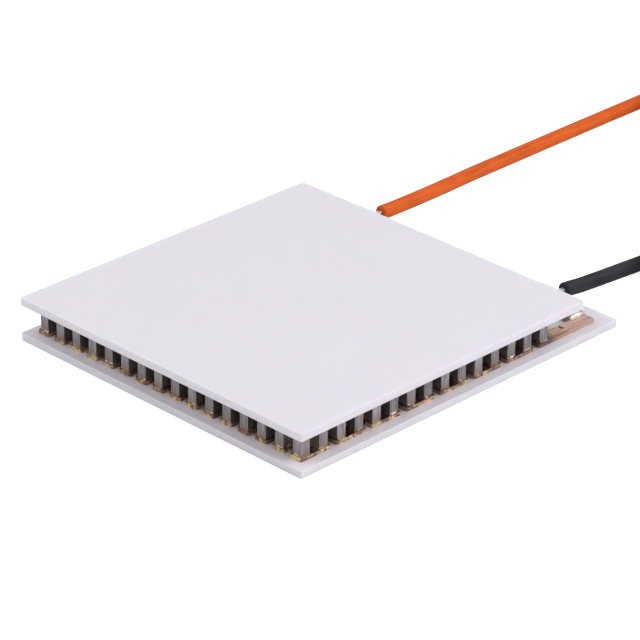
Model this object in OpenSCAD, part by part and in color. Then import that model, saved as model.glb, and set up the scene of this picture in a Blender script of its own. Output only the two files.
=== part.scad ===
// Single-stage thermoelectric cooling module, 127 couples, with two leads.
// Millimetres. +Z runs from the hot face to the cold face, +X towards the leads.
// The origin is the middle of the hot face.

/* [Plates] */
// Side of the square cold plate, and width of the hot plate
plate_side = 30; // [29.5:0.1:31]
// Length of the hot plate that stands out past the cold plate, for the leads
ledge = 4; // [4:0.1:6]
// Thickness of each ceramic plate
ceramic_t = 0.635; // [0.5:0.005:1]
// Radius of the plates' upright corners
plate_corner_r = 0.15; // [0.1:0.05:0.8]
// Height over both plates
overall_h = 3.6; // [3.2:0.1:4.8]

/* [Couples] */
// Distance between neighbouring pellets
pitch = 1.8; // [1.75:0.01:1.82]
// Side of a pellet
pellet_side = 0.84; // [0.7:0.02:1]
// Width of a copper tab
tab_w = 1.15; // [1.1:0.01:1.3]
// Thickness of a copper tab
tab_t = 0.3; // [0.2:0.05:0.4]
// Radius of a tab's corners
tab_corner_r = 0.15; // [0.05:0.01:0.3]
// Thickness of the solder between a pellet and its tab
solder_t = 0.1; // [0.04:0.01:0.15]
// How far the solder stands out round a pellet
solder_margin = 0.06; // [0.02:0.01:0.1]

/* [Terminal pads] */
// Distance from the ledge's outer edge to the end of a terminal pad
terminal_end_gap = 1.6; // [1.2:0.1:2]
// Width of the leg that runs along the ledge under the solder bead
terminal_leg_w = 1.5; // [1.2:0.1:1.8]
// Reach of that leg, from the module's centre line
terminal_leg_inner_y = 8; // [7:0.1:9]
// Width of the notch behind the last pellet
notch_w = 0.3; // [0.2:0.05:0.5]
// Depth of that notch
notch_d = 0.55; // [0.3:0.05:0.8]

/* [Leads] */
// Diameter over the insulation
lead_d = 1.2; // [1.1:0.05:1.3]
// Diameter of the stranded conductor
conductor_d = 0.6; // [0.4:0.05:0.8]
// Distance of each lead from the module's centre line
lead_y = 9.8; // [9.7:0.05:9.9]
// Height of a lead's axis where it leaves the ledge
lead_z = 1.4; // [1.35:0.05:1.5]
// Length of conductor that is bared and tinned at the far end
tip_l = 5; // [3:0.5:8]
// Radius of the solder bead that holds the conductor
bead_r = 0.85; // [0.7:0.05:0.9]
// Length of the bead's straight middle
bead_l = 1.6; // [1:0.1:2]
// Height of the mound of solder that covers the leg
mound_h = 0.3; // [0.2:0.02:0.4]
// Width of the leg's bare rim round that mound
mound_margin = 0.1; // [0.05:0.01:0.2]

/* [Wound-up lead] */
// Diameter of a coil at the middle of the lead
coil_d = 12.1; // [12:0.1:13.5]
// Thickness of the tie's band
tie_t = 0.2; // [0.1:0.05:0.2]
// Width of the tie's band
tie_w = 1.5; // [1:0.1:3]

/* [Hidden] */
rows = 16;
cols = 16;
bands = 8;
rows_per_band = rows / bands;

alumina = "#ece8ee";
copper = "#b98a4e";
bare_copper = "#c08a66";
p_type = "#6f6b70";
n_type = "#625f64";
solder_grey = "#b9bcc0";
orange = "#e26a2c";
black = "#2b2b30";
tie_white = "#dcdcd6";

eps = 0.01;

// Heights of the layers, from the hot face up
hot_tab_z = ceramic_t;
hot_solder_z = hot_tab_z + tab_t;
pellet_z = hot_solder_z + solder_t;
pellet_h = overall_h - 2 * pellet_z;
cold_solder_z = pellet_z + pellet_h;
cold_tab_z = cold_solder_z + solder_t;
cold_plate_z = cold_tab_z + tab_t;

// The hot plate is centred on the origin, so the cold plate sits towards -X
hot_l = plate_side + ledge;
cold_x = -ledge / 2;
first_x = cold_x - (cols - 1) * pitch / 2;
first_y = -(rows - 1) * pitch / 2;

tab_l = pitch + tab_w;
solder_side = pellet_side + 2 * solder_margin;

// Terminal pads
terminal_end_x = hot_l / 2 - terminal_end_gap;
terminal_start_x = col_x(cols - 2) - tab_w / 2;
notch_x = col_x(cols - 1) + pitch / 2 - notch_w / 2;

// Leads: where the insulation starts, and the bead that holds the conductor
lead_start_x = hot_l / 2 - 0.35;
bead_x = terminal_end_x - 0.45;
conductor_start_x = terminal_end_x - terminal_leg_w + 0.1;
tube_sides = 8;

// The mound is a slice of a cylinder that lies along the leg
mound_w = terminal_leg_w - 2 * mound_margin;
mound_r = (pow(mound_w / 2, 2) + pow(mound_h, 2)) / (2 * mound_h);
mound_start_y = row_y(0) + tab_w / 2 + mound_margin;
mound_l = -terminal_leg_inner_y - mound_margin - mound_start_y;

// Height of a lead's axis where it lies on the table
rest_z = lead_d / 2;

// Each lead's route until it reaches its coil, and the coil's turns
negative_route = [
    [lead_start_x, -lead_y, lead_z], [17.4, -9.83, 1.34], [18.2, -9.88, 1.26], [19.2, -9.91, 1.18],
    [20.2, -9.92, 1.11], [21.2, -9.92, 1.03], [22.2, -9.91, 0.95], [23.2, -9.9, 0.87],
    [24.2, -9.89, 0.79], [25.2, -9.88, 0.71], [26.2, -9.88, 0.64], [27, -9.88, rest_z],
    [27.7, -9.88, rest_z]];
positive_route = [
    [lead_start_x, lead_y, lead_z], [17.4, 9.81, 1.35], [18.6, 9.87, 1.28], [20.2, 9.99, 1.19],
    [22.2, 10.16, 1.08], [24.2, 10.35, 0.97], [26.2, 10.55, 0.87], [28.2, 10.76, 0.77],
    [30.2, 10.92, 0.68], [32.2, 11.02, 0.62], [34.4, 11.06, rest_z], [36.8, 11.08, rest_z],
    [39.2, 11.09, rest_z], [41.6, 11.1, rest_z], [44, 11.11, rest_z], [46.4, 11.12, rest_z],
    [48.8, 11.12, rest_z], [50.8, 11.12, rest_z], [52.5, 11.12, rest_z]];
negative_turns = 2.48;
positive_turns = 1.82;
negative_tie_angle = 120;
positive_tie_angle = 200;

// A coil starts with a short straight run, one lead diameter high, and then climbs a diameter a turn
coil_r = coil_d / 2;
coil_foot_z = 0.25;
coil_run_l = 3.7;
// The last part turn is a shade thinner than the turns that it lies on
part_turn_inset = 0.02;
tip_angle = tip_l / coil_r * 180 / PI;
tie_angle = tie_w / coil_r * 180 / PI;
tie_tail_l = 3;

function col_x(i) = first_x + i * pitch;
function row_y(j) = first_y + j * pitch;
// The two lead-side corner places hold no pellet
function has_pellet(i, j) = !(i == cols - 1 && (j == 0 || j == rows - 1));
function is_p(i, j) = (i + j) % 2 == 0;
function band_rows(b) = [(b - 1) * rows_per_band : b * rows_per_band - 1];

// A flat plate on z = 0, with round upright corners
module rounded_plate(l, w, h, r) {
    linear_extrude(h) {
        square([l - 2 * r, w], center = true);
        square([l, w - 2 * r], center = true);
        for (sx = [-1, 1], sy = [-1, 1])
            translate([sx * (l / 2 - r), sy * (w / 2 - r)]) circle(r, $fn = 32);
    }
}

module hot_ceramic() {
    color(alumina) rounded_plate(hot_l, plate_side, ceramic_t, plate_corner_r);
}

module cold_ceramic() {
    color(alumina) translate([cold_x, 0, cold_plate_z])
        rounded_plate(plate_side, plate_side, ceramic_t, plate_corner_r);
}

// A tab that bridges the two pellets whose middle is at (x, y), along X or turned to run along Y
module tab(x, y, z, turned = false) {
    color(copper) translate([x, y, z]) rotate([0, 0, turned ? 90 : 0])
        rounded_plate(tab_l, tab_w, tab_t, tab_corner_r);
}

// Hot side: pairs (0,1), (2,3) ... in every row, less the last pair of the outer rows
module hot_tabs_band(b) {
    for (j = band_rows(b), i = [0:2:cols - 2])
        if (has_pellet(i + 1, j)) tab(col_x(i) + pitch / 2, row_y(j), hot_tab_z);
}

// Cold side: pairs (1,2), (3,4) ... in every row, and one turning tab that joins the band's two rows
module cold_tabs_band(b) {
    for (j = band_rows(b), i = [1:2:cols - 3])
        tab(col_x(i) + pitch / 2, row_y(j), cold_tab_z);
    tab(col_x(0), row_y((b - 1) * rows_per_band) + pitch / 2, cold_tab_z, turned = true);
}

// Turning tabs on the lead side, from each band to the next
module cold_return_tabs() {
    for (j = [1:2:rows - 3])
        tab(col_x(cols - 1), row_y(j) + pitch / 2, cold_tab_z, turned = true);
}

// One type of pellet in a band of rows
module pellets(b, p) {
    color(p ? p_type : n_type)
        for (j = band_rows(b), i = [0:cols - 1])
            if (has_pellet(i, j) && is_p(i, j) == p)
                translate([col_x(i) - pellet_side / 2, row_y(j) - pellet_side / 2, pellet_z])
                    cube([pellet_side, pellet_side, pellet_h]);
}

// A square of solder at each pellet's end
module solder_layer(z) {
    color(solder_grey)
        for (j = [0:rows - 1], i = [0:cols - 1])
            if (has_pellet(i, j))
                translate([col_x(i) - solder_side / 2, row_y(j) - solder_side / 2, z])
                    cube([solder_side, solder_side, solder_t]);
}

// L-shaped pad: a strip under the last pellet of the row, and a leg along the ledge.
// Drawn for the negative side; the positive side is its mirror image.
module terminal_pad() {
    strip_y = row_y(0);
    strip_l = terminal_end_x - terminal_start_x;
    leg_l = tab_w / 2 - strip_y - terminal_leg_inner_y;
    color(bare_copper) translate([0, 0, hot_tab_z]) difference() {
        union() {
            translate([(terminal_start_x + terminal_end_x) / 2, strip_y])
                rounded_plate(strip_l, tab_w, tab_t, tab_corner_r);
            translate([terminal_end_x - terminal_leg_w / 2, strip_y - tab_w / 2 + leg_l / 2])
                rounded_plate(terminal_leg_w, leg_l, tab_t, tab_corner_r);
        }
        translate([notch_x, strip_y + tab_w / 2 - notch_d, -eps])
            cube([notch_w, notch_d + eps, tab_t + 2 * eps]);
    }
}

// The conductor lies in the bead, along +X
module conductor() {
    color(solder_grey) translate([conductor_start_x, -lead_y, lead_z]) rotate([0, 90, 0])
        cylinder(h = lead_start_x - conductor_start_x, d = conductor_d, $fn = 32);
}

// The solder along the leg and the rounded bead across it, cut flat where they wet the pad
module solder_bead() {
    color(solder_grey) difference() {
        union() {
            translate([bead_x, -lead_y, lead_z]) {
                rotate([90, 0, 0]) cylinder(h = bead_l, r = bead_r, center = true, $fn = 48);
                for (s = [-1, 1]) translate([0, s * bead_l / 2, 0]) sphere(bead_r, $fn = 48);
            }
            translate([terminal_end_x - terminal_leg_w / 2, mound_start_y,
                    hot_solder_z + mound_h - mound_r])
                rotate([-90, 0, 0]) cylinder(h = mound_l, r = mound_r, $fn = 64);
        }
        translate([bead_x - 3, mound_start_y - 1, hot_solder_z - 3]) cube([6, mound_l + 2, 3]);
        conductor();
    }
}

function unit(v) = v / norm(v);
function heading(path, i) =
    unit(path[min(i + 1, len(path) - 1)] - path[max(i - 1, 0)]);
// Ring of points round the path at point i; both end rings stand upright
function ring(path, i, r) =
    let (ahead = (i == 0 || i == len(path) - 1) ? [1, 0, 0] : heading(path, i),
         side = unit(cross(ahead, [0, 0, 1])), up = cross(side, ahead))
    [for (s = [0:tube_sides - 1]) let (a = (s + 0.5) * 360 / tube_sides)
        path[i] + r * (cos(a) * side + sin(a) * up)];

module swept_tube(path, d) {
    rings = [for (i = [0:len(path) - 1]) each ring(path, i, d / 2)];
    last = len(path) - 1;
    sides = [for (i = [0:last - 1], s = [0:tube_sides - 1])
        let (a = i * tube_sides + s, b = i * tube_sides + (s + 1) % tube_sides)
        [a, b, b + tube_sides, a + tube_sides]];
    start_cap = [[for (s = [tube_sides - 1:-1:0]) s]];
    end_cap = [[for (s = [0:tube_sides - 1]) last * tube_sides + s]];
    polyhedron(points = rings, faces = concat(sides, start_cap, end_cap), convexity = 4);
}

// Centre of the coil that starts after a route's last point and winds towards -Y
function coil_centre(route) =
    let (e = route[len(route) - 1]) [e[0] + coil_run_l, e[1] - coil_r, 0];

function turn_z(turns) = rest_z + lead_d * turns;

// Section of the wound bundle, from its foot to its top, with round edges
module bundle_section(top, grow = 0) {
    r = lead_d / 2 + grow;
    translate([coil_r - r, coil_foot_z + lead_d / 2]) square([2 * r, top - coil_foot_z - lead_d]);
    translate([coil_r, coil_foot_z + lead_d / 2]) circle(r, $fn = 32);
    translate([coil_r, top - lead_d / 2]) circle(r, $fn = 32);
}

// The coil's outer shape: full turns all the way round, the last part turn on top, and the straight run in
module coil(route, turns) {
    full = floor(turns);
    part = (turns - full) * 360;
    translate(coil_centre(route)) {
        rotate_extrude($fn = 96) bundle_section(turn_z(full) + lead_d / 5);
        rotate([0, 0, 90 - part]) rotate_extrude(angle = part, $fn = 96)
            bundle_section(turn_z(turns) + lead_d / 2, grow = -part_turn_inset);
        translate([-coil_run_l, coil_r, lead_d / 2]) rotate([0, 90, 0])
            cylinder(h = coil_run_l, d = lead_d, $fn = 32);
    }
}

// The stripped, tinned end follows the coil, on top of it
module lead_tip(route, turns) {
    part = (turns - floor(turns)) * 360;
    color(solder_grey) translate(coil_centre(route) + [0, 0, turn_z(turns)])
        rotate([0, 0, 90 - part - tip_angle]) rotate_extrude(angle = tip_angle, $fn = 96)
            translate([coil_r, 0]) circle(d = conductor_d, $fn = 24);
}

// A band round the bundle, with its twisted tail pointing out of the coil
module lead_tie(route, turns, at_angle) {
    top = turn_z(turns) + lead_d / 2;
    tail_z = (coil_foot_z + top) / 2;
    color(tie_white) translate(coil_centre(route)) rotate([0, 0, 90 - at_angle]) {
        rotate([0, 0, -tie_angle / 2]) rotate_extrude(angle = tie_angle, $fn = 96)
            difference() {
                bundle_section(top, grow = tie_t);
                bundle_section(top);
            }
        translate([coil_r + lead_d / 2 + tie_t / 2, 0, tail_z]) rotate([0, 90, 0])
            cylinder(h = tie_tail_l, d = 3 * tie_t, $fn = 24);
    }
}

module negative_terminal_pad() { terminal_pad(); }
module positive_terminal_pad() { mirror([0, 1, 0]) terminal_pad(); }
module negative_conductor() { conductor(); }
module positive_conductor() { mirror([0, 1, 0]) conductor(); }
module negative_solder_bead() { solder_bead(); }
module positive_solder_bead() { mirror([0, 1, 0]) solder_bead(); }
module negative_lead() { color(black) swept_tube(negative_route, lead_d); }
module positive_lead() { color(orange) swept_tube(positive_route, lead_d); }
module negative_lead_coil() { color(black) coil(negative_route, negative_turns); }
module positive_lead_coil() { color(orange) coil(positive_route, positive_turns); }
module negative_lead_tip() { lead_tip(negative_route, negative_turns); }
module positive_lead_tip() { lead_tip(positive_route, positive_turns); }
module negative_lead_tie() { lead_tie(negative_route, negative_turns, negative_tie_angle); }
module positive_lead_tie() { lead_tie(positive_route, positive_turns, positive_tie_angle); }

hot_ceramic();
cold_ceramic();
negative_terminal_pad();
positive_terminal_pad();
solder_layer(hot_solder_z);  // hot_solder
solder_layer(cold_solder_z);  // cold_solder
cold_return_tabs();
for (b = [1:bands]) {
    hot_tabs_band(b);
    cold_tabs_band(b);
    pellets(b, true);
    pellets(b, false);
}
negative_conductor();
positive_conductor();
negative_solder_bead();
positive_solder_bead();
negative_lead();
positive_lead();
negative_lead_coil();
positive_lead_coil();
negative_lead_tip();
positive_lead_tip();
negative_lead_tie();
positive_lead_tie();
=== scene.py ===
# %% [markdown]
# # Dressing a thermoelectric cooling module
#
# The module is two white ceramic plates with a grid of dark semiconductor pellets and copper tabs
# between them, and two insulated leads on a ledge. The solid model already has every piece at its
# real size. This lesson gives the pieces their finishes, and rebuilds the few that a plain solid
# can't show well: the leads, their bared strands, the solder and the ties.

# %% [markdown]
# ## Loading the frame
#
# Everything in Blender is in metres, but this object is measured in millimetres. One named value,
# `MM`, keeps the rest of the script readable: a length is written as `1.1 * MM`.

# %% Load the solid model and measure it
import math
import random

import bmesh
import bpy
from mathutils import Matrix, Vector


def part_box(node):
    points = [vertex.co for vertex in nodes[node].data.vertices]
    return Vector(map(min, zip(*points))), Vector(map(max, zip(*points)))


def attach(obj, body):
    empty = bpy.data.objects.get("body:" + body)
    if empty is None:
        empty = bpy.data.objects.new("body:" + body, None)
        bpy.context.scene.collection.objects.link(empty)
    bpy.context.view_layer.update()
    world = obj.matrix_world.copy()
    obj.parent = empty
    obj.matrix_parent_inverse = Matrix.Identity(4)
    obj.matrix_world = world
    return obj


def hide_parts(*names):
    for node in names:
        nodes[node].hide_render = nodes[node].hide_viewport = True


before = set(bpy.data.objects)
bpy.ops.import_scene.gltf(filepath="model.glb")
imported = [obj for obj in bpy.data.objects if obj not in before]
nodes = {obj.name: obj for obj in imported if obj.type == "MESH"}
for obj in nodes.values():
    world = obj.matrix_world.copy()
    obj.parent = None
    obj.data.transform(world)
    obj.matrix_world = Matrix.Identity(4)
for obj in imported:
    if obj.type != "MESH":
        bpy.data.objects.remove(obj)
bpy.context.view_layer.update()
MM = 0.001
print("pieces in the frame:", len(nodes))

# %% [markdown]
# ## The camera
#
# A product shot of a flat part looks down on one corner. A long lens, far away, keeps the plates'
# edges nearly parallel. The camera is built from the way it looks (azimuth and elevation), a small
# roll, and the point that sits in the middle of the picture.

# %% Camera
LOOK_AT = Vector((-0.98, -0.88, 1.80)) * MM
CAMERA_DISTANCE = 266.4 * MM
HEADING = math.radians(44.695)
LOOK_DOWN = math.radians(26.794)
ROLL = math.radians(0.494)

ahead = Vector((
    math.cos(HEADING) * math.cos(LOOK_DOWN),
    math.sin(HEADING) * math.cos(LOOK_DOWN),
    -math.sin(LOOK_DOWN),
))
level_right = ahead.cross(Vector((0, 0, 1))).normalized()
level_up = level_right.cross(ahead)
right = math.cos(ROLL) * level_right + math.sin(ROLL) * level_up
up = right.cross(ahead)

camera_data = bpy.data.cameras.new("product_camera")
camera_data.sensor_width = 36
camera_data.lens = 198.8
camera_data.clip_start = 10 * MM
camera_data.clip_end = 10
camera = bpy.data.objects.new("product_camera", camera_data)
bpy.context.scene.collection.objects.link(camera)
camera.matrix_world = Matrix.Translation(LOOK_AT - ahead * CAMERA_DISTANCE) @ Matrix((
    (right.x, up.x, -ahead.x),
    (right.y, up.y, -ahead.y),
    (right.z, up.z, -ahead.z),
)).to_4x4()
bpy.context.scene.camera = camera
print("camera at, mm:", [round(x / MM, 1) for x in camera.matrix_world.translation])

# %% [markdown]
# ## Where the leads run
#
# Each lead is a fixed length of insulated wire, 114 mm with its stripped end. It leaves the solder
# joint on the ledge, comes down to the table under its own weight, and the rest is wound into a
# coil. The straight part is a list of given points. The coil's turns follow a rule, so a
# loop works them out: each turn climbs by one lead diameter. The smooth curve through all of these
# points may dip a little between two of them, so no point is allowed under the table.

# %% Lead sizes and routes
LEAD_D = 1.2
WIRE_D = 0.6
COIL_R = 6.05
COIL_RUN = 3.7
TIP_LENGTH = 5.0
POINTS_PER_TURN = 48

LEAD_START_X = 16.65
LEAD_Y = 9.8
LEAD_Z = 1.4
REST_Z = LEAD_D / 2

negative_route = [
    (LEAD_START_X, -LEAD_Y, LEAD_Z), (17.4, -9.83, 1.34), (18.2, -9.88, 1.26), (19.2, -9.91, 1.18),
    (20.2, -9.92, 1.11), (21.2, -9.92, 1.03), (22.2, -9.91, 0.95), (23.2, -9.9, 0.87),
    (24.2, -9.89, 0.79), (25.2, -9.88, 0.71), (26.2, -9.88, 0.64), (27, -9.88, REST_Z),
    (27.7, -9.88, REST_Z)]
positive_route = [
    (LEAD_START_X, LEAD_Y, LEAD_Z), (17.4, 9.81, 1.35), (18.6, 9.87, 1.28), (20.2, 9.99, 1.19),
    (22.2, 10.16, 1.08), (24.2, 10.35, 0.97), (26.2, 10.55, 0.87), (28.2, 10.76, 0.77),
    (30.2, 10.92, 0.68), (32.2, 11.02, 0.62), (34.4, 11.06, REST_Z), (36.8, 11.08, REST_Z),
    (39.2, 11.09, REST_Z), (41.6, 11.1, REST_Z), (44, 11.11, REST_Z), (46.4, 11.12, REST_Z),
    (48.8, 11.12, REST_Z), (50.8, 11.12, REST_Z), (52.5, 11.12, REST_Z)]


def coil_centre(route):
    """The middle of a route's coil, on the table."""
    x, y, _ = route[-1]
    return Vector((x + COIL_RUN, y - COIL_R, 0))


def on_coil(centre, turned, turns_up):
    """A point on the coil, turned by so many degrees from its start, and so many turns up."""
    a = math.radians(90 - turned)
    height = LEAD_D * (0.5 + turns_up)
    return centre + Vector((COIL_R * math.cos(a), COIL_R * math.sin(a), height))


def whole_route(route, turns):
    """The route, the straight run into the coil and the coil's turns, in millimetres."""
    centre = coil_centre(route)
    points = [Vector(p) for p in route]
    points.append(points[-1] + Vector((COIL_RUN / 2, 0, 0)))
    steps = round(turns * POINTS_PER_TURN)
    for i in range(steps + 1):
        share = turns * i / steps
        points.append(on_coil(centre, 360 * share, share))
    return points


def smooth_line(points, spacing):
    """Catmull-Rom curve through the points, with about one point per spacing."""
    line = []
    padded = [2 * points[0] - points[1], *points, 2 * points[-1] - points[-2]]
    for a, b, c, d in zip(padded, padded[1:], padded[2:], padded[3:]):
        steps = max(1, round((c - b).length / spacing))
        for i in range(steps):
            t = i / steps
            line.append(0.5 * (2 * b + (c - a) * t + (2 * a - 5 * b + 4 * c - d) * t * t
                               + (3 * b - a - 3 * c + d) * t ** 3))
    line.append(points[-1])
    return line


def line_length(points):
    return sum((b - a).length for a, b in zip(points, points[1:]))


LEADS = {
    "negative": (negative_route, 2.48, 120),
    "positive": (positive_route, 1.82, 200),
}
lead_lines = {}
for pole, (route, turns, _) in LEADS.items():
    lead_lines[pole] = smooth_line(whole_route(route, turns), 0.4)
    for point in lead_lines[pole]:
        point.z = max(point.z, REST_Z)
    print(pole, "lead, mm:", round(line_length(lead_lines[pole]), 1))

# %% [markdown]
# ## A mesh swept along a line
#
# The leads and the strands inside them are the same thing at two sizes: a round section carried
# along a line. To carry it without twisting, each ring takes over the sideways direction of the
# ring before it, less the part that would lean along the line. The end rings follow a small
# profile, which gives the insulation a softly cut edge and a bore that the wire comes out of. At
# the solder, the heat has shrunk that bore tight round the wire.
#
# Rings of points that follow one another make most of the shapes in this lesson, so the faces
# between them have a helper of their own.

# %% Sweeping helpers
WIRE_PLACE = "wire_place"


def add_skin(bm, rings, capped=True):
    """Faces between rings that follow one another, and if capped over both ends."""
    for a, b in zip(rings, rings[1:]):
        for s in range(len(a)):
            t = (s + 1) % len(a)
            bm.faces.new((a[s], a[t], b[t], b[s]))
    if capped:
        bm.faces.new(rings[0][::-1])
        bm.faces.new(rings[-1])


def frames_along(line):
    """(point, side, over, along) for each point, turned as little as possible from the last."""
    result = []
    side = None
    for i, p in enumerate(line):
        along = (line[min(i + 1, len(line) - 1)] - line[max(i - 1, 0)]).normalized()
        if side is None:
            side = along.cross(Vector((0, 0, 1))).normalized()
        side = (side - along * side.dot(along)).normalized()
        result.append((p, side, along.cross(side), along))
    return result


def add_tube(bm, line, radius, sides, start_cut=(), end_cut=()):
    """Adds a closed round tube.

    A cut is a list of (depth into the line, radius), from the bore outwards. Each point also
    keeps where it is on the straight, uncoiled wire, for the finish to follow.
    """
    layers = bm.verts.layers.float_vector
    wire_place = layers.get(WIRE_PLACE) or layers.new(WIRE_PLACE)
    rings = []
    places = frames_along(line)
    gone = [0.0]
    for a, b in zip(line, line[1:]):
        gone.append(gone[-1] + (b - a).length)
    last = len(places) - 1
    first_plain = 1 if start_cut else 0
    last_plain = last - 1 if end_cut else last
    sections = [(0, d, r) for d, r in start_cut]
    sections += [(i, 0, radius) for i in range(first_plain, last_plain + 1)]
    sections += [(last, -d, r) for d, r in reversed(end_cut)]
    for i, shift, r in sections:
        p, side, over, along = places[i]
        ring = []
        for s in range(sides):
            a = 2 * math.pi * s / sides
            x, y = r * math.cos(a), r * math.sin(a)
            ring.append(bm.verts.new((p + along * shift + x * side + y * over) * MM))
            ring[-1][wire_place] = (gone[i] + shift, x, y)
        rings.append(ring)
    add_skin(bm, rings)


def finish_mesh(name, bm, smooth_angle=35):
    """Turns the work mesh into an object in the scene, smooth except at sharp edges."""
    bmesh.ops.recalc_face_normals(bm, faces=bm.faces[:])
    mesh = bpy.data.meshes.new(name)
    bm.to_mesh(mesh)
    bm.free()
    mesh.shade_smooth()
    mesh.set_sharp_from_angle(angle=math.radians(smooth_angle))
    piece = bpy.data.objects.new(name, mesh)
    bpy.context.scene.collection.objects.link(piece)
    return piece


# %% Insulation of both leads
LEAD_SIDES = 28
CUT_EDGE = [(0.0, 0.5), (0.015, 0.55), (0.05, 0.585), (0.12, LEAD_D / 2)]
SHRUNK_END = [(0.4, 0.21), (0.0, 0.24)] + CUT_EDGE
STRIPPED_END = [(0.4, 0.31), (0.0, 0.34)] + CUT_EDGE
insulation = {}
for pole in LEADS:
    bm = bmesh.new()
    add_tube(bm, lead_lines[pole], LEAD_D / 2, LEAD_SIDES, SHRUNK_END, STRIPPED_END)
    insulation[pole] = finish_mesh(f"{pole}_lead_insulation", bm)
    print(pole, "insulation faces:", len(insulation[pole].data.polygons))

# %% [markdown]
# ## Bared, tinned strands
#
# At both ends the wire inside is bare: many thin strands, twisted and tinned so that they hold
# together. A smooth rod would look like a nail. Twelve strands wound as helices round a core give
# the rope-like outline, and tinning is shown later by one shared metal finish.

# %% Stranded wire
STRANDS = 12
STRAND_R = 0.068
STRAND_SIDES = 8
SQUEEZED_R = 0.215
LAY_LENGTH = 9.0
INTO_BORE = 0.3
BARE_STEPS = 30
TIP_STEPS = 40


def add_strands(bm, line, overall_r):
    """Twelve strands twisted round a core, along the line."""
    ring_r = overall_r - STRAND_R
    add_tube(bm, line, ring_r, STRANDS)
    places = frames_along(line)
    gone = 0.0
    helix = [[] for _ in range(STRANDS)]
    for i, (p, side, over, _) in enumerate(places):
        gone += (p - places[i - 1][0]).length if i else 0
        for s in range(STRANDS):
            a = 2 * math.pi * (s / STRANDS + gone / LAY_LENGTH)
            helix[s].append(p + ring_r * (math.cos(a) * side + math.sin(a) * over))
    for strand in helix:
        add_tube(bm, strand, STRAND_R, STRAND_SIDES)


def tip_line(route, turns):
    """The stripped end, which goes on round the coil at the same height from inside the bore."""
    centre = coil_centre(route)
    sweep = math.degrees(TIP_LENGTH / COIL_R)
    inside = math.degrees(INTO_BORE / COIL_R)
    start = 360 * turns - inside
    return [
        on_coil(centre, start + (sweep + inside) * i / TIP_STEPS, turns)
        for i in range(TIP_STEPS + 1)
    ]


bare_wire = {}
bare_tip = {}
conductor_start_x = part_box("negative_conductor")[0][0] / MM
for pole, (route, turns, _) in LEADS.items():
    start_x, start_y, start_z = route[0]
    start = Vector((conductor_start_x, start_y, start_z))
    into_lead = Vector((start_x + INTO_BORE, start_y, start_z))
    straight = [start.lerp(into_lead, i / BARE_STEPS) for i in range(BARE_STEPS + 1)]
    bm = bmesh.new()
    add_strands(bm, straight, SQUEEZED_R)
    bare_wire[pole] = finish_mesh(f"{pole}_bare_strands", bm)
    bm = bmesh.new()
    add_strands(bm, tip_line(route, turns), WIRE_D / 2)
    bare_tip[pole] = finish_mesh(f"{pole}_tinned_tip", bm)
    faces = [len(piece.data.polygons) for piece in (bare_wire[pole], bare_tip[pole])]
    print(pole, "strand faces, at the solder and at the tip:", faces)

# %% [markdown]
# ## The ties
#
# A coil of fine wire is kept together by a twist tie: a flat band once round the bundle, its two
# ends twisted into a short tail. The band follows the bundle's section, which is a slot shape. It
# is thinned towards both edges, so that they catch the light like folded paper.

# %% Twist ties
TIE_T = 0.195
TIE_W = 1.5
BUNDLE_FOOT = 0.25
TAIL_LENGTH = 3.0
TAIL_R = 0.14
TAIL_SIDES = 10
TAIL_OFFSET = 0.15
TAIL_TURNS = 2.5
TAIL_STEPS = 28


def slot_outline(top, grow):
    """The bundle's section grown by so much, as (distance from the coil's axis, height) points."""
    r = LEAD_D / 2 + grow
    low, high = BUNDLE_FOOT + LEAD_D / 2, top - LEAD_D / 2
    corners = [(high, 0)] * 13 + [(low, 180)] * 13
    angles = [a * 15 for a in range(13)] * 2
    return [
        (COIL_R + r * math.cos(math.radians(a + base)), z + r * math.sin(math.radians(a + base)))
        for (z, base), a in zip(corners, angles)
    ]


def add_band(bm, place, top):
    """The flat band: an inner and an outer skin, joined along both edges."""
    half = math.degrees(TIE_W / 2 / COIL_R)
    rows = []
    for grow, turned in ((0, -half), (TIE_T * 0.8, -half), (TIE_T, -half * 0.9), (TIE_T, 0),
                         (TIE_T, half * 0.9), (TIE_T * 0.8, half), (0, half)):
        rows.append([bm.verts.new(place(r, turned, z) * MM) for r, z in slot_outline(top, grow)])
    add_skin(bm, [*rows, rows[0]], capped=False)


ties = {}
for pole, (route, turns, tie_at) in LEADS.items():
    centre = coil_centre(route)
    top = LEAD_D * (turns + 1)

    def place(r, turned, z, centre=centre, tie_at=tie_at):
        a = math.radians(90 - tie_at + turned)
        return centre + Vector((r * math.cos(a), r * math.sin(a), z))

    bm = bmesh.new()
    add_band(bm, place, top)
    root = COIL_R + LEAD_D / 2 + TIE_T / 2
    middle = (BUNDLE_FOOT + top) / 2
    across = (place(1, 90, 0) - place(0, 0, 0)).normalized()
    for half_turn in (0, math.pi):
        tail = []
        for i in range(TAIL_STEPS + 1):
            a = half_turn + 2 * math.pi * TAIL_TURNS * i / TAIL_STEPS
            offset = TAIL_OFFSET * (math.cos(a) * across + math.sin(a) * Vector((0, 0, 1)))
            tail.append(place(root + TAIL_LENGTH * i / TAIL_STEPS, 0, middle) + offset)
        add_tube(bm, tail, TAIL_R, TAIL_SIDES)
    ties[pole] = finish_mesh(f"{pole}_twist_tie", bm)
    print(pole, "tie faces:", len(ties[pole].data.polygons))

# %% [markdown]
# ## Hanging the new pieces on the root
#
# A lead is a free cord. Each new piece hangs from the root body, and the pieces of the solid model
# that it stands in for are hidden.

for pole, (route, _, _) in LEADS.items():
    lead = insulation[pole]
    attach(lead, "root")
    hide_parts(f"{pole}_lead", f"{pole}_lead_coil")
    for piece, node, slot in (
        (bare_tip[pole], f"{pole}_lead_tip", "tinned_wire"),
        (ties[pole], f"{pole}_lead_tie", "tie"),
        (bare_wire[pole], f"{pole}_conductor", "tinned_wire"),
    ):
        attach(piece, "root")
        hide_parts(node)

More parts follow.
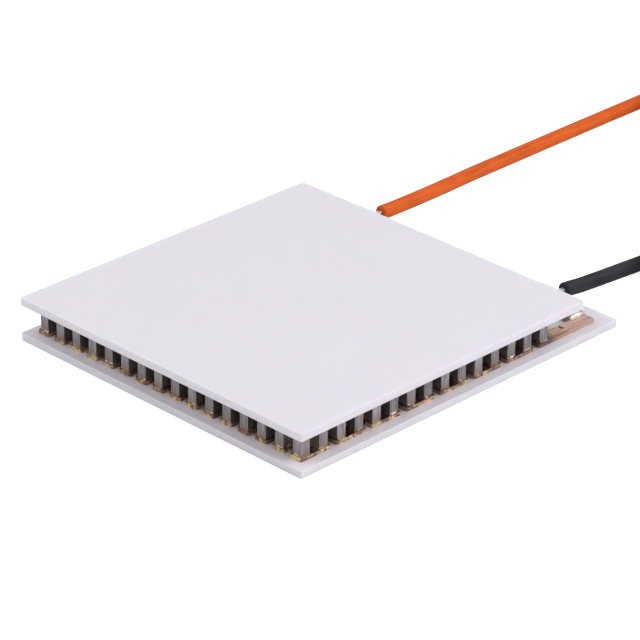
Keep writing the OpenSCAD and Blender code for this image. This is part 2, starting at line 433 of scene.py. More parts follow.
# %% [markdown]
# ## Sizes taken from the solid model
#
# The solder pieces that come next sit on the tabs and pads of the solid model, so their heights are
# read from it instead of being typed again.

# %% Heights and the pellet grid
PITCH = 1.8
PELLET = 0.84
GRID = 16
hot_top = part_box("hot_tabs_band_1")[1][2] / MM
cold_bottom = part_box("cold_tabs_band_1")[0][2] / MM
pellet_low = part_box("p_pellets_band_1")[0]
first_x = pellet_low[0] / MM + PELLET / 2
first_y = pellet_low[1] / MM + PELLET / 2
pellet_places = [
    (i, j, first_x + i * PITCH, first_y + j * PITCH)
    for j in range(GRID) for i in range(GRID)
    if not (i == GRID - 1 and j in (0, GRID - 1))
]
print("pellets:", len(pellet_places))
print("tab top and bottom, mm:", round(hot_top, 3), round(cold_bottom, 3))

# %% [markdown]
# ## Solder round the pellets
#
# Solder doesn't stay a flat square: it wets the tab, creeps up the pellet and leaves a concave
# skirt, a little different on each one. Each skirt is a stack of rounded squares. Their sizes
# follow a curve that is wide at the tab and tight on the pellet, and a seeded random generator
# makes the differences the same on every run.

# %% Solder skirts
SKIRT_SIDES = 16
SKIRT_STEPS = (0, 0.12, 0.3, 0.55, 0.8, 1)
CLIMB = (0.05, 0.1)
SPREAD = (0.015, 0.03)
BULGE, BULGE_CHANCE = 0.015, 0.25
LEAN = 0.008


def rounded_square(half, corner, k):
    """Point k of a square with round corners, four points to a corner."""
    quarter, step = divmod(k, 4)
    a = math.radians(90 * quarter + 30 * step)
    cx = (half - corner) * (1 if quarter in (0, 3) else -1)
    cy = (half - corner) * (1 if quarter in (0, 1) else -1)
    return cx + corner * math.cos(a), cy + corner * math.sin(a)


def add_skirt(bm, x, y, base, up, chance):
    """One skirt at (x, y), from the tab at height base towards the pellet (up is +1 or -1)."""
    climb = chance.uniform(*CLIMB)
    spread = chance.uniform(*SPREAD)
    bulge = BULGE if chance.random() < BULGE_CHANCE else 0.0
    lean = Vector((chance.uniform(-LEAN, LEAN), chance.uniform(-LEAN, LEAN), 0))
    wave = chance.uniform(0, 6)
    rings = []
    for share in SKIRT_STEPS:
        reach = spread * (1 - share) ** 2.2 + bulge * math.sin(math.pi * share) + 0.006
        ring = []
        for k in range(SKIRT_SIDES):
            px, py = rounded_square(PELLET / 2 + reach, 0.02 + 0.8 * reach, k)
            rise = climb * share * (1 + 0.35 * math.sin(1.7 * k + wave))
            point = Vector((x + px, y + py, base + up * rise)) + lean * (1 - share)
            ring.append(bm.verts.new(point * MM))
        rings.append(ring)
    add_skin(bm, rings)


# %% [markdown]
# Here and there a bead of extra solder was squeezed out at the foot of a pellet. In the outermost
# row on the negative lead's side they are easy to see, so their places in that row are given.
# Elsewhere chance picks them. The beads are a second material on the same mesh, because they are
# cleaner and brighter.

# %% Solder beads
BEADED_PELLETS = (1, 2, 3, 6, 7, 9, 14)
BEAD_CHANCE = 0.12
BEAD_RADII = (0.09, 0.13)
BEAD_PLACES = (0.08, 0.2)
BEAD_STRETCH = (1.15, 0.8, 0.95, 1)


def add_bead(bm, x, y, base, up, chance):
    """A flattened drop against the foot of a pellet, at its corner towards -X and -Y."""
    r = chance.uniform(*BEAD_RADII)
    corner_x = x - PELLET / 2 + chance.uniform(*BEAD_PLACES)
    place = Vector((corner_x, y - PELLET / 2 - 0.02, base + up * r * 0.7))
    shape = Matrix.Translation(place * MM) @ Matrix.Diagonal(BEAD_STRETCH) @ Matrix.Scale(r * MM, 4)
    new = bmesh.ops.create_icosphere(bm, subdivisions=2, radius=1, matrix=shape)
    for face in {f for v in new["verts"] for f in v.link_faces}:
        face.material_index = 1


def solder_piece(name, node, base, up, seed):
    """All skirts and beads on one side of the pellets, in place of the plain solder squares."""
    chance = random.Random(seed)
    bm = bmesh.new()
    beads = 0
    for i, j, x, y in pellet_places:
        add_skirt(bm, x, y, base, up, chance)
        if up > 0 and (i in BEADED_PELLETS if j == 0 else chance.random() < BEAD_CHANCE):
            add_bead(bm, x, y, base, up, chance)
            beads += 1
    piece = finish_mesh(name, bm, smooth_angle=60)
    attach(piece, "root")
    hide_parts(node)
    print(name, "faces:", len(piece.data.polygons), "beads:", beads)
    return piece


hot_skirts = solder_piece("hot_solder_skirts", "hot_solder", hot_top, 1, seed=11)
cold_skirts = solder_piece("cold_solder_skirts", "cold_solder", cold_bottom, -1, seed=12)

# %% [markdown]
# ## Solder on the terminal pads
#
# The wire is held by a rounded bead of solder that has also run out over the pad's leg. A sheet of
# points over the leg makes it, closed by a flat underside. Its height blends two shapes smoothly:
# the low mound along the leg and the bead across it. Some solder has climbed along the wire, and a
# sleeve that thins towards the insulation shows that.

# %% The shapes in a solder joint
pad_low, pad_high = (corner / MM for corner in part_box("negative_terminal_pad"))
LEG_W = 1.5
RIM = 0.04
STRIP_W = 1.15
leg_low_x, leg_high_x = pad_high[0] - LEG_W, pad_high[0]
leg_low_y, leg_high_y = pad_low[1] + STRIP_W, pad_high[1]
bead_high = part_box("negative_solder_bead")[1] / MM
bead_top = bead_high[2]
BEAD_R = 0.85
BEAD_HALF = 0.8
bead_x = bead_high[0] - BEAD_R
bead_y = -LEAD_Y
MOUND_H = 0.3
MOUND_END = 0.45
print("leg, mm:", round(leg_low_x, 2), round(leg_high_x, 2), "bead top, mm:", round(bead_top, 2))


def joint_height(x, y):
    """Height of the solder over the pad at (x, y), for the negative side."""
    across = abs(x - (leg_low_x + leg_high_x) / 2) / (LEG_W / 2)
    from_end = min(y - leg_low_y, leg_high_y - y)
    end = math.sqrt(1 - (1 - min(max(from_end, 0) / MOUND_END, 1)) ** 2)
    uneven = 1 + 0.12 * math.sin(4.1 * y + 1) * math.cos(3 * x)
    mound = MOUND_H * uneven * end * math.sqrt(max(1 - across ** 2, 0))
    along = max(abs(y - bead_y) - BEAD_HALF, 0)
    away = math.hypot(x - bead_x, along) / BEAD_R
    dome = (bead_top - hot_top) * math.sqrt(max(1 - away ** 2.4, 0)) if away < 1 else 0
    return (mound ** 4 + dome ** 4) ** 0.25


# %% The sleeve
SLEEVE_START_X = bead_x + 0.3
SLEEVE_END_X = LEAD_START_X - 0.01
SLEEVE_THIN_R = 0.25
SLEEVE_FLARE = 0.37
SLEEVE_STEPS = 14
SLEEVE_SIDES = 24


def add_sleeve(bm, y):
    """Solder that has climbed along the strands from the bead, thinning towards the insulation."""
    rings = []
    for i in range(SLEEVE_STEPS + 1):
        share = i / SLEEVE_STEPS
        x = SLEEVE_START_X + (SLEEVE_END_X - SLEEVE_START_X) * share
        r = SLEEVE_THIN_R + SLEEVE_FLARE * (1 - share) ** 2.5
        rings.append([
            bm.verts.new(Vector((x, y + r * math.cos(a), LEAD_Z + r * math.sin(a))) * MM)
            for a in (2 * math.pi * s / SLEEVE_SIDES for s in range(SLEEVE_SIDES))
        ])
    add_skin(bm, rings)


# %% Building the joints
SHEET_COLUMNS, SHEET_ROWS = 36, 100
SHEET_T = 0.004
LIP_RISE = 0.2


def solder_joint(pole, mirror):
    """One joint. Past the pad's edge the underside is higher, because the bead overhangs there.

    Away from the bead, that leaves a lip over the edge that is only SHEET_T thick.
    """
    columns, rows = SHEET_COLUMNS, SHEET_ROWS
    x_low, x_high = leg_low_x + RIM, bead_high[0] - 0.01
    y_low, y_high = leg_low_y + RIM, leg_high_y - RIM
    bm = bmesh.new()
    top, low = [], []
    for i in range(columns + 1):
        x = x_low + (x_high - x_low) * i / columns
        foot = hot_top - SHEET_T if x <= leg_high_x - RIM else hot_top + LIP_RISE
        top.append([])
        low.append([])
        for j in range(rows + 1):
            y = y_low + (y_high - y_low) * j / rows
            z = max(hot_top + joint_height(x, y), foot + SHEET_T)
            top[-1].append(bm.verts.new(Vector((x, mirror * y, z)) * MM))
            low[-1].append(bm.verts.new(Vector((x, mirror * y, foot)) * MM))
    for i in range(columns):
        for j in range(rows):
            bm.faces.new((top[i][j], top[i + 1][j], top[i + 1][j + 1], top[i][j + 1]))
            bm.faces.new((low[i][j], low[i][j + 1], low[i + 1][j + 1], low[i + 1][j]))
    rim = [(i, 0) for i in range(columns)] + [(columns, j) for j in range(rows)]
    rim += [(i, rows) for i in range(columns, 0, -1)] + [(0, j) for j in range(rows, 0, -1)]
    for (i, j), (k, m) in zip(rim, rim[1:] + rim[:1]):
        bm.faces.new((top[i][j], low[i][j], low[k][m], top[k][m]))
    add_sleeve(bm, mirror * bead_y)
    piece = finish_mesh(f"{pole}_solder_joint", bm, smooth_angle=50)
    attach(piece, "root")
    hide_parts(f"{pole}_solder_bead")
    print(pole, "joint faces:", len(piece.data.polygons))
    return piece


joints = {"negative": solder_joint("negative", 1), "positive": solder_joint("positive", -1)}

# %% [markdown]
# ## Softened edges
#
# Nothing real has a perfectly sharp edge, and it is the narrow bright line along an edge that makes
# a small part look solid. The pieces of the solid model keep their meshes: a Bevel modifier rounds
# their edges on top, by about 0.1 mm on the etched copper and by much less on the fired ceramic and
# the sawn pellets. Hardened normals keep the flat faces flat.

# %% Bevels on the carried-over pieces
# For each kind of piece, the bevel's width and its number of segments
EDGE_SOFTNESS = {"ceramic": (0.04, 2), "tabs": (0.09, 4), "pad": (0.1, 3), "pellets": (0.012, 1)}
for name, node in nodes.items():
    for kind, (width, segments) in EDGE_SOFTNESS.items():
        if kind in name:
            node.data.shade_smooth()
            node.data.set_sharp_from_angle(angle=math.radians(30))
            bevel = node.modifiers.new("soft_edges", "BEVEL")
            bevel.width = width * MM
            bevel.segments = segments
            bevel.limit_method = "ANGLE"
            bevel.angle_limit = math.radians(50)
            bevel.harden_normals = True
print("bevelled:", sum(1 for n in nodes.values() if n.modifiers))

# %% [markdown]
# ## Shared effects
#
# Three effects turn up in several finishes: a fine grain, larger blotches where a surface is
# stained, and a tone that changes from one pellet or tab to the next. Each is a node group with
# named inputs, built once. All take a place in millimetres, so a size in a finish is a real size.

# %% Node group helpers
def new_group(name, inputs, output):
    """A shader group with the named inputs (socket kind and value) and one float output."""
    tree = bpy.data.node_groups.new(name, "ShaderNodeTree")
    for label, kind, value in [("Place", "NodeSocketVector", (0, 0, 0)), *inputs]:
        tree.interface.new_socket(label, in_out="INPUT", socket_type=kind).default_value = value
    tree.interface.new_socket(output, in_out="OUTPUT", socket_type="NodeSocketFloat")
    return tree, tree.nodes.new("NodeGroupInput"), tree.nodes.new("NodeGroupOutput")


def calculate(tree, kind, operation, *values):
    """A Math or Vector Math node. Each value is a socket, a number or a vector."""
    node = tree.nodes.new(kind)
    node.operation = operation
    for socket, value in zip(node.inputs, values):
        if isinstance(value, bpy.types.NodeSocket):
            tree.links.new(value, socket)
        else:
            socket.default_value = value
    return node.outputs["Value" if operation == "DOT_PRODUCT" else 0]


def remap(tree, value, low, high, to_low=0.0, to_high=1.0):
    """value from low..high to to_low..to_high, held at both ends."""
    node = tree.nodes.new("ShaderNodeMapRange")
    for label, end in (("Value", value), ("From Min", low), ("From Max", high),
                       ("To Min", to_low), ("To Max", to_high)):
        if isinstance(end, bpy.types.NodeSocket):
            tree.links.new(end, node.inputs[label])
        else:
            node.inputs[label].default_value = end
    return node.outputs["Result"]


def noise(tree, place, scale, detail):
    """A Noise texture's grey value. Detail is a number or a socket."""
    node = tree.nodes.new("ShaderNodeTexNoise")
    node.inputs["Scale"].default_value = scale
    node.inputs["Roughness"].default_value = 0.6
    tree.links.new(place, node.inputs["Vector"])
    if isinstance(detail, bpy.types.NodeSocket):
        tree.links.new(detail, node.inputs["Detail"])
    else:
        node.inputs["Detail"].default_value = detail
    return node.outputs["Fac"]


# %% Grain: noise of one real size, which may be drawn out along an axis
grain_group, given, out = new_group("fine_grain", [
    ("Size", "NodeSocketFloat", 0.3),
    ("Stretch", "NodeSocketVector", (1, 1, 1)),
    ("Detail", "NodeSocketFloat", 3.0),
    ("Low", "NodeSocketFloat", 0.35),
    ("High", "NodeSocketFloat", 0.65),
], "Mask")
drawn = calculate(
    grain_group, "ShaderNodeVectorMath", "DIVIDE", given.outputs["Place"], given.outputs["Stretch"])
sized = calculate(grain_group, "ShaderNodeVectorMath", "DIVIDE", drawn, given.outputs["Size"])
speckle = noise(grain_group, sized, 1.0, given.outputs["Detail"])
grain_group.links.new(
    remap(grain_group, speckle, given.outputs["Low"], given.outputs["High"]), out.inputs["Mask"])
print("group", grain_group.name, "with", len(grain_group.nodes), "nodes")

# %% Blotches: two sizes of noise added, cut off at a level, for stains and tarnish
blotch_group, given, out = new_group("blotches", [
    ("Size", "NodeSocketFloat", 2.0),
    ("Coverage", "NodeSocketFloat", 0.5),
    ("Softness", "NodeSocketFloat", 0.2),
], "Mask")
sized = calculate(
    blotch_group, "ShaderNodeVectorMath", "DIVIDE", given.outputs["Place"], given.outputs["Size"])
both = calculate(blotch_group, "ShaderNodeMath", "ADD",
                 noise(blotch_group, sized, 1.0, 2.0), noise(blotch_group, sized, 3.7, 2.0))
full = calculate(blotch_group, "ShaderNodeMath", "SUBTRACT", 1.5, given.outputs["Coverage"])
start = calculate(blotch_group, "ShaderNodeMath", "SUBTRACT", full, given.outputs["Softness"])
blotch_group.links.new(remap(blotch_group, both, start, full), out.inputs["Mask"])
print("group", blotch_group.name, "with", len(blotch_group.nodes), "nodes")

# %% Tone: one random value for each cell of a grid
tone_group, given, out = new_group("cell_tone", [
    ("Cell", "NodeSocketVector", (PITCH, PITCH, 100)),
    ("Corner", "NodeSocketVector", (0, 0, 0)),
], "Mask")
shifted = calculate(
    tone_group, "ShaderNodeVectorMath", "SUBTRACT", given.outputs["Place"], given.outputs["Corner"])
counted = calculate(tone_group, "ShaderNodeVectorMath", "DIVIDE", shifted, given.outputs["Cell"])
cell = calculate(tone_group, "ShaderNodeVectorMath", "FLOOR", counted)
dice = tone_group.nodes.new("ShaderNodeTexWhiteNoise")
tone_group.links.new(cell, dice.inputs["Vector"])
tone_group.links.new(dice.outputs["Value"], out.inputs["Mask"])
print("group", tone_group.name, "with", len(tone_group.nodes), "nodes")

# %% [markdown]
# ## Building a finish
#
# A finish is a Principled shader with a few masks in front of it. The helper below starts one with
# its plain numbers set on the shader itself. Its methods each add one thing: a mask, a mix of two
# colours, a level for the roughness, or a bump. Place is the object's own coordinates, or on a wire
# the place along it, so that drawn lines follow every bend.

# %% Finish helpers
class Finish:
    """One material, with its Principled shader at hand."""

    def __init__(self, name, along_wire=False, **sockets):
        self.material = bpy.data.materials.new(name)
        self.material.use_nodes = True
        self.tree = self.material.node_tree
        self.shader = self.tree.nodes["Principled BSDF"]
        for label, value in sockets.items():
            self.shader.inputs[label.replace("_", " ")].default_value = value
        self.material.diffuse_color = self.shader.inputs["Base Color"].default_value[:]
        if along_wire:
            attribute = self.tree.nodes.new("ShaderNodeAttribute")
            attribute.attribute_name = WIRE_PLACE
            self.place = attribute.outputs["Vector"]
        else:
            own = self.tree.nodes.new("ShaderNodeTexCoord").outputs["Object"]
            to_mm = (1 / MM,) * 3
            self.place = calculate(self.tree, "ShaderNodeVectorMath", "MULTIPLY", own, to_mm)

    def axes(self):
        """The X, Y and Z of the place, each as a socket."""
        node = self.tree.nodes.new("ShaderNodeSeparateXYZ")
        self.tree.links.new(self.place, node.inputs[0])
        return [node.outputs[axis] for axis in "XYZ"]

    def mask(self, group, **inputs):
        """Places a shared effect with this finish's own values."""
        node = self.tree.nodes.new("ShaderNodeGroup")
        node.node_tree = group
        self.tree.links.new(self.place, node.inputs["Place"])
        for label, value in inputs.items():
            node.inputs[label].default_value = value
        return node.outputs["Mask"]

    def mix(self, mask, first, second):
        """Colour first where the mask is 0 and second where it is 1. Either may be a socket."""
        node = self.tree.nodes.new("ShaderNodeMix")
        node.data_type = "RGBA"
        self.tree.links.new(mask, node.inputs["Factor"])
        for label, colour in (("A", first), ("B", second)):
            socket = next(s for s in node.inputs if s.name == label and s.type == "RGBA")
            if isinstance(colour, tuple):
                socket.default_value = (*colour, 1)
            else:
                self.tree.links.new(colour, socket)
        return next(s for s in node.outputs if s.type == "RGBA")

    def math(self, operation, *values):
        """One calculation on sockets or numbers."""
        return calculate(self.tree, "ShaderNodeMath", operation, *values)

    def fade(self, value, low, high, at_low=0.0, at_high=1.0):
        """A mask that runs from at_low to at_high while the value goes from low to high."""
        return remap(self.tree, value, low, high, at_low, at_high)

    def level(self, mask, low, high):
        """A number that runs from low to high with the mask."""
        return remap(self.tree, mask, 0.0, 1.0, low, high)

    def feed(self, label, socket):
        """Links a socket to the shader's input of that name."""
        self.tree.links.new(socket, self.shader.inputs[label])

    def bump(self, *layers):
        """Bumps one on another: (mask, height in millimetres)."""
        before = None
        for mask, height in layers:
            node = self.tree.nodes.new("ShaderNodeBump")
            node.inputs["Distance"].default_value = height * MM
            node.inputs["Strength"].default_value = 1.0
            self.tree.links.new(mask, node.inputs["Height"])
            if before:
                self.tree.links.new(before, node.inputs["Normal"])
            before = node.outputs["Normal"]
        self.feed("Normal", before)


def give(finish, *targets):
    """Puts the finish on each named node or object."""
    for target in targets:
        obj = nodes[target] if isinstance(target, str) else target
        obj.data.materials.clear()
        obj.data.materials.append(finish.material)


# %% [markdown]
# ## White alumina
#
# The plates are pressed and fired alumina: nearly white with a faint cool tint, satin, with a very
# fine grain and a few soft marks from handling. It lets a little light through, which keeps its
# edges bright. Between the plates, flux from soldering has left a thin warm stain that fades out
# just past the tabs. Deeper in, among the pellets, the inner faces are painted an even dark brown:
# this is painted shade, standing in for the shadow between the plates.

# %% Alumina
alumina = Finish(
    "white_alumina", Base_Color=(0.65, 0.61, 0.665, 1), Roughness=0.5, IOR=1.6,
    Subsurface_Weight=0.5, Subsurface_Radius=(1.0, 0.95, 1.0), Subsurface_Scale=0.6 * MM)
soft_marks = alumina.mask(blotch_group, Size=7.0, Coverage=0.5, Softness=0.35)
fine = alumina.mask(grain_group, Size=0.12, Detail=4.0)
broad = alumina.mask(grain_group, Size=5.0, Detail=2.0, Low=0.3, High=0.7)
body_colour = alumina.mix(broad, (0.640, 0.603, 0.655), (0.655, 0.617, 0.670))
marked_colour = alumina.mix(soft_marks, body_colour, (0.620, 0.600, 0.660))

array_x = first_x + (GRID - 1) * PITCH / 2
array_half = (GRID - 1) * PITCH / 2 + STRIP_W / 2
hot_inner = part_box("hot_ceramic")[1][2] / MM
cold_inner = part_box("cold_ceramic")[0][2] / MM
middle_z = (hot_inner + cold_inner) / 2
inner_half = (cold_inner - hot_inner) / 2
x, y, z = alumina.axes()
out_x = alumina.math("ABSOLUTE", alumina.math("SUBTRACT", x, array_x))
out_y = alumina.math("ABSOLUTE", y)
past_array = alumina.math("SUBTRACT", alumina.math("MAXIMUM", out_x, out_y), array_half)
from_middle = alumina.math("ABSOLUTE", alumina.math("SUBTRACT", z, middle_z))
inside = alumina.fade(from_middle, inner_half + 0.01, inner_half + 0.03, 1.0, 0.0)
near = alumina.fade(past_array, -0.1, 0.45, 1.0, 0.0)
streaky = alumina.mask(blotch_group, Size=0.9, Coverage=0.62, Softness=0.5)
strength = alumina.level(streaky, 0.05, 0.4)
stained = alumina.math("MULTIPLY", alumina.math("MULTIPLY", inside, near), strength)
base_colour = alumina.mix(fine, marked_colour, body_colour)
tinted = alumina.mix(stained, base_colour, (0.50, 0.37, 0.33))
# Painted shade: the inner faces well inside the pellet grid are painted dark to stand in for the
# shadow between the plates.
painted_interior_shade = alumina.math("MULTIPLY", inside, alumina.fade(past_array, -1.3, -0.1, 1.0, 0.0))
alumina.feed("Base Color", alumina.mix(painted_interior_shade, tinted, (0.34, 0.26, 0.26)))
alumina.feed("Roughness", alumina.level(fine, 0.44, 0.56))
alumina.bump((broad, 0.008), (fine, 0.003))
give(alumina, "hot_ceramic", "cold_ceramic")
print("finish:", alumina.material.name)

# %% [markdown]
# ## Copper
#
# The tabs are copper with a thin golden plating that has tarnished unevenly: bright gold in places,
# redder or browner in others, and redder on the whole away from the edge at -X. Their tops are
# painted darker, partly for a thin film of flux and partly as painted shade from the plate above.
# The long terminal pads are barer and redder, with fine grooves that run along them, and a dark
# line a little in from the front edge: a painted reflection, standing in for the dark room that the
# rounded edge mirrors. Where a pellet would stand they still have the golden plating, and next to
# the last pellet the copper is darker.

# %% Golden tabs
grid_corner = (first_x - PITCH / 2, first_y - PITCH / 2, 0)
tab_copper = Finish(
    "golden_tab_copper", Base_Color=(0.70, 0.52, 0.26, 1), Metallic=1.0, Roughness=0.32)
tarnish = tab_copper.mask(blotch_group, Size=1.1, Coverage=0.44, Softness=0.25)
reddened = tab_copper.mask(tone_group, Cell=(2 * PITCH, PITCH, 100), Corner=grid_corner)
scuffs = tab_copper.mask(grain_group, Size=0.1, Stretch=(4.0, 1.0, 1.0))
x, _, z = tab_copper.axes()
inwards = tab_copper.fade(x, first_x, first_x + 4 * PITCH, 0.1, 0.9)
redness = tab_copper.math("MULTIPLY", tab_copper.math("POWER", reddened, 0.7), inwards)
gold = tab_copper.mix(redness, (0.92, 0.76, 0.39), (0.72, 0.46, 0.38))
# Painted shade and flux: the flat tops are darkened, partly for a thin film of flux and partly to
# stand in for the shade under the plate above.
flux_and_painted_shade = tab_copper.fade(z, hot_top - 0.03, hot_top - 0.005, 0.0, 0.2)
tarnished = tab_copper.mix(tarnish, gold, (0.27, 0.19, 0.15))
tab_copper.feed("Base Color", tab_copper.mix(flux_and_painted_shade, tarnished, (0.16, 0.115, 0.095)))
tab_copper.feed("Roughness", tab_copper.level(tarnish, 0.22, 0.42))
tab_copper.bump((scuffs, 0.0015))
tabs = [n for n in nodes if "_tabs" in n]
give(tab_copper, *tabs)
print("finish:", tab_copper.material.name, "on", len(tabs), "pieces")

# %% Bare pads
# How far in from the pads' front edge the painted reflection line lies
FRONT_REFLECTION_INSET = 0.2
pad_copper = Finish(
    "grooved_bare_copper", Base_Color=(0.70, 0.45, 0.37, 1), Metallic=1.0, Roughness=0.4)
grooves = pad_copper.mask(
    grain_group, Size=0.14, Stretch=(30.0, 1.0, 1.0), Detail=2.0, Low=0.4, High=0.6)
stain = pad_copper.mask(blotch_group, Size=1.3, Coverage=0.42)
salmon = pad_copper.mix(grooves, (0.52, 0.31, 0.25), (0.76, 0.52, 0.44))
aged = pad_copper.mix(stain, salmon, (0.62, 0.42, 0.33))
x, y, _ = pad_copper.axes()
wavy_x = pad_copper.math("ADD", x, pad_copper.level(stain, -0.15, 0.15))
last_pellet_x = first_x + (GRID - 2) * PITCH
plated = pad_copper.fade(wavy_x, last_pellet_x + 2.55, last_pellet_x + 2.75, 1.0, 0.0)
# The copper next to the last pellet is darker.
darker_by_last_pellet = pad_copper.fade(wavy_x, last_pellet_x + 0.7, last_pellet_x + 1.5, 1.0, 0.0)
golden = pad_copper.mix(grooves, (0.32, 0.21, 0.13), (0.62, 0.44, 0.29))
with_plating = pad_copper.mix(plated, aged, golden)
# Painted reflection: a dark line a little in from the front edge stands in for the dark room mirrored
# in the rounded edge.
reflection_line_y = -pad_low[1] - FRONT_REFLECTION_INSET
past_reflection_line = pad_copper.math("SUBTRACT", pad_copper.math("ABSOLUTE", y), reflection_line_y)
painted_edge_reflection = pad_copper.fade(pad_copper.math("ABSOLUTE", past_reflection_line), 0.025, 0.06, 0.8, 0.0)
with_edge_reflection = pad_copper.mix(painted_edge_reflection, with_plating, (0.26, 0.15, 0.12))
pad_copper.feed("Base Color", pad_copper.mix(darker_by_last_pellet, with_edge_reflection, (0.22, 0.17, 0.15)))
pad_copper.feed("Roughness", pad_copper.level(grooves, 0.48, 0.32))
pad_copper.bump((grooves, 0.012))
give(pad_copper, "negative_terminal_pad", "positive_terminal_pad")
print("finish:", pad_copper.material.name)

# %% [markdown]
# ## Sawn pellets
#
# Pellets are diced from an ingot with a wire saw, which leaves fine upright streaks on their sides.
# The alloy is a dark, greyish metal. The two types differ a little in tint, and each pellet a
# little from its neighbours. Towards the foot they turn darker and browner.

# %% Pellets
for kind, dark, light in (
    ("p", (0.18, 0.165, 0.175), (0.47, 0.44, 0.465)),
    ("n", (0.155, 0.145, 0.155), (0.40, 0.375, 0.40)),
):
    pellet = Finish(f"sawn_{kind}_pellet", Base_Color=(*light, 1), Metallic=0.78, Roughness=0.4)
    streaks = pellet.mask(
        grain_group, Size=0.11, Stretch=(1.0, 1.0, 14.0), Detail=3.0, Low=0.36, High=0.62)
    speckles = pellet.mask(grain_group, Size=0.06, Detail=2.0)
    own_tone = pellet.mask(tone_group, Cell=(PITCH, PITCH, 100), Corner=grid_corner)
    _, _, z = pellet.axes()
    # Darker and browner towards the foot.
    browner_towards_foot = pellet.fade(z, hot_top + 0.1, hot_top + 0.8, 0.75, 0.0)
    streaked = pellet.mix(streaks, dark, light)
    toned = pellet.mix(pellet.level(own_tone, 0.0, 0.4), streaked, tuple(0.45 * c for c in light))
    speckled = pellet.mix(pellet.level(speckles, 0.0, 0.25), toned, light)
    pellet.feed("Base Color", pellet.mix(browner_towards_foot, speckled, (0.30, 0.22, 0.19)))
    pellet.feed("Roughness", pellet.level(streaks, 0.52, 0.34))
    pellet.bump((streaks, 0.006), (speckles, 0.003))
    pellets = [n for n in nodes if n.startswith(f"{kind}_pellets")]
    give(pellet, *pellets)
    print("finish:", pellet.material.name, "on", len(pellets), "pieces")

# %% [markdown]
# ## Solder and tinned wire
#
# Solder that has cooled by itself is bright but not a mirror: it has a slightly frosted skin with
# soft dimples. Close to the insulation it turns nearly black. The thin skirts at the pellets are
# dulled by flux. The tinned strands have a smoother, brighter surface.

# %% Cooled solder
solder = Finish("cooled_solder", Base_Color=(0.80, 0.82, 0.84, 1), Metallic=0.8, Roughness=0.3)
frost = solder.mask(grain_group, Size=0.25, Detail=3.0)
dull = solder.mask(blotch_group, Size=0.9, Coverage=0.4)
silver = solder.mix(frost, (0.74, 0.76, 0.78), (0.88, 0.90, 0.93))
smoky = solder.mix(dull, silver, (0.60, 0.60, 0.62))
x, _, _ = solder.axes()
# Nearly black close to the insulation.
darker_by_insulation = solder.fade(x, bead_x + 1.1, bead_x + 1.6, 0.0, 0.6)
solder.feed("Base Color", solder.mix(darker_by_insulation, smoky, (0.06, 0.055, 0.05)))
solder.feed("Roughness", solder.level(frost, 0.36, 0.26))
solder.bump((frost, 0.004))
give(solder, *joints.values())
print("finish:", solder.material.name)

# %% Fluxed solder, with clean solder as the beads' second material
fluxed_solder = Finish(
    "fluxed_solder", Base_Color=(0.34, 0.29, 0.25, 1), Metallic=0.8, Roughness=0.42)
crust = fluxed_solder.mask(grain_group, Size=0.12, Detail=3.0)
clean = fluxed_solder.mask(blotch_group, Size=0.8, Coverage=0.28)
crusted = fluxed_solder.mix(crust, (0.16, 0.125, 0.10), (0.34, 0.29, 0.25))
fluxed_solder.feed("Base Color", fluxed_solder.mix(clean, crusted, (0.66, 0.65, 0.64)))
fluxed_solder.feed("Roughness", fluxed_solder.level(crust, 0.5, 0.34))
fluxed_solder.bump((crust, 0.01))
give(fluxed_solder, hot_skirts, cold_skirts)
hot_skirts.data.materials.append(solder.material)
print("finish:", fluxed_solder.material.name)

# %% Tinned strands
tinned = Finish(
    "tinned_strands", along_wire=True, Base_Color=(0.74, 0.75, 0.77, 1), Metallic=1.0, Roughness=0.26)
wear = tinned.mask(grain_group, Size=0.3, Stretch=(3.0, 1.0, 1.0), Detail=2.0)
tinned.feed("Base Color", tinned.mix(wear, (0.60, 0.59, 0.58), (0.82, 0.83, 0.85)))
tinned.feed("Roughness", tinned.level(wear, 0.38, 0.2))
give(tinned, *bare_wire.values(), *bare_tip.values())
print("finish:", tinned.material.name)

# %% [markdown]
# ## Insulation and ties
#
# The insulation is extruded plastic, drawn smooth along its length, with a soft sheen. A very fine
# grain stretched along the wire breaks up the highlight. The tie is plain paper-covered wire.

# %% Insulation
for pole, name, colour, shade in (
    ("positive", "orange_insulation", (0.60, 0.098, 0.009), (0.45, 0.070, 0.009)),
    ("negative", "black_insulation", (0.024, 0.024, 0.030), (0.009, 0.009, 0.012)),
):
    plastic = Finish(
        name, along_wire=True, Base_Color=(*colour, 1), Roughness=0.5, Specular_IOR_Level=0.15)
    drawn_out = plastic.mask(
        grain_group, Size=0.2, Stretch=(26.0, 1.0, 1.0), Detail=2.0, Low=0.42, High=0.58)
    clouds = plastic.mask(grain_group, Size=2.2, Detail=2.0)
    lined = plastic.mix(drawn_out, shade, colour)
    plastic.feed("Base Color", plastic.mix(clouds, colour, lined))
    plastic.feed("Roughness", plastic.level(drawn_out, 0.65, 0.5))
    plastic.bump((drawn_out, 0.008))
    give(plastic, insulation[pole])
    print("finish:", plastic.material.name)

# %% Ties
paper = Finish("tie_paper", Base_Color=(0.78, 0.78, 0.74, 1), Roughness=0.75)
fibres = paper.mask(grain_group, Size=0.08, Stretch=(1.0, 1.0, 3.0))
paper.feed("Base Color", paper.mix(fibres, (0.66, 0.66, 0.61), (0.80, 0.80, 0.76)))
paper.bump((fibres, 0.01))
give(paper, *ties.values())
print("finish:", paper.material.name)

# %% [markdown]
# ## Floor and light
#
# White parts are often shot on a sweep of paper that is lit by itself, so that the ground comes out
# clean white and swallows the shadows. The floor here glows for the same reason. Only the camera
# sees that glow, so it throws no light onto the part.

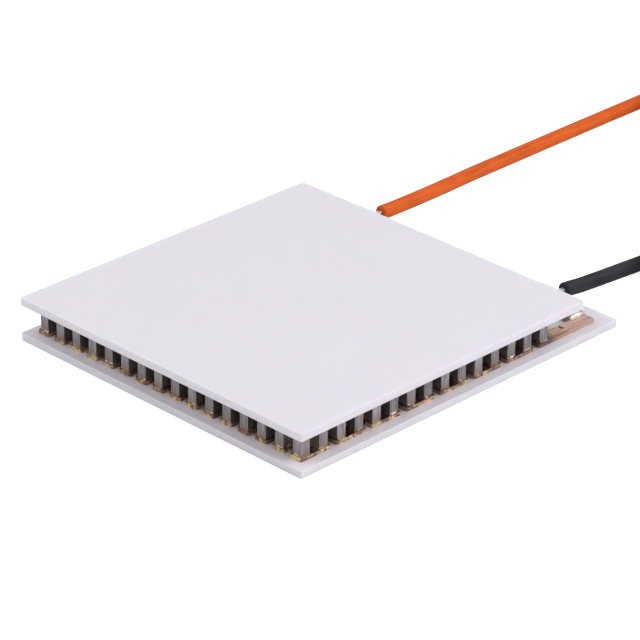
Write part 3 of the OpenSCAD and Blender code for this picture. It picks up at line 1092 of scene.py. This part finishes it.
# %% Floor
GLOW_SEEN, GLOW_CAST = 0.8, 0.0
PAPER_DARK, PAPER_LIGHT = (0.795,) * 3, (0.805,) * 3
bpy.ops.mesh.primitive_plane_add(size=3.0, location=(0, 0, -0.02 * MM))
floor = bpy.context.object
floor.name = "studio_floor"
floor_paint = Finish("floor_paint", Base_Color=(0.8, 0.8, 0.8, 1), Roughness=0.8,
                     Emission_Color=(1, 1, 1, 1), Emission_Strength=GLOW_CAST)
floor_tone = floor_paint.mask(grain_group, Size=60.0)
floor_paint.feed("Base Color", floor_paint.mix(floor_tone, PAPER_DARK, PAPER_LIGHT))
seen = floor_paint.tree.nodes.new("ShaderNodeLightPath").outputs["Is Camera Ray"]
floor_paint.feed("Emission Strength", floor_paint.level(seen, GLOW_CAST, GLOW_SEEN))
floor.data.materials.append(floor_paint.material)

# %% [markdown]
# The rest is soft light. The paper sweep behind the part is bright and the room behind the camera
# is dimmer, so the sky runs from one to the other: metal tops mirror the bright side and keep their
# shine, while the sides that face the camera stay a little darker than the top. One large soft box
# lights each of the two sides that show, the one at -Y more strongly than the one at -X. A small
# lamp over the near corner adds some crisper highlights on the copper.

# %% Sky
SKY_DIM, SKY_BRIGHT = 0.15, 0.95
BRIGHT_WAY = (0.6, 0.6, -0.5)
sky = bpy.data.worlds.new("soft_sky")
bpy.context.scene.world = sky
sky.use_nodes = True
background = sky.node_tree.nodes["Background"]
background.inputs["Color"].default_value = (1, 1, 1, 1)
direction = sky.node_tree.nodes.new("ShaderNodeTexCoord").outputs["Generated"]
behind = calculate(
    sky.node_tree, "ShaderNodeVectorMath", "DOT_PRODUCT", direction, BRIGHT_WAY)
ramp = remap(sky.node_tree, behind, -0.2, 0.5, SKY_DIM, SKY_BRIGHT)
sky.node_tree.links.new(ramp, background.inputs["Strength"])
print("sky from", SKY_DIM, "to", SKY_BRIGHT)


# %% Soft boxes
def soft_box(name, place, size, watts):
    """A square light that faces the part."""
    light = bpy.data.lights.new(name, "AREA")
    light.size = size
    light.energy = watts
    box = bpy.data.objects.new(name, light)
    box.location = place
    box.rotation_euler = (-Vector(place)).to_track_quat("-Z", "Y").to_euler()
    bpy.context.scene.collection.objects.link(box)
    return box


soft_box("strip_side_box", (0.20, -0.31, 0.30), 0.35, 2.2)
soft_box("far_side_box", (-0.31, 0.20, 0.30), 0.35, 1.35)
soft_box("near_lamp", (-0.35, -0.35, 0.40), 0.12, 0.6)
bpy.context.scene.view_settings.view_transform = "Standard"
bpy.context.scene.view_settings.look = "None"
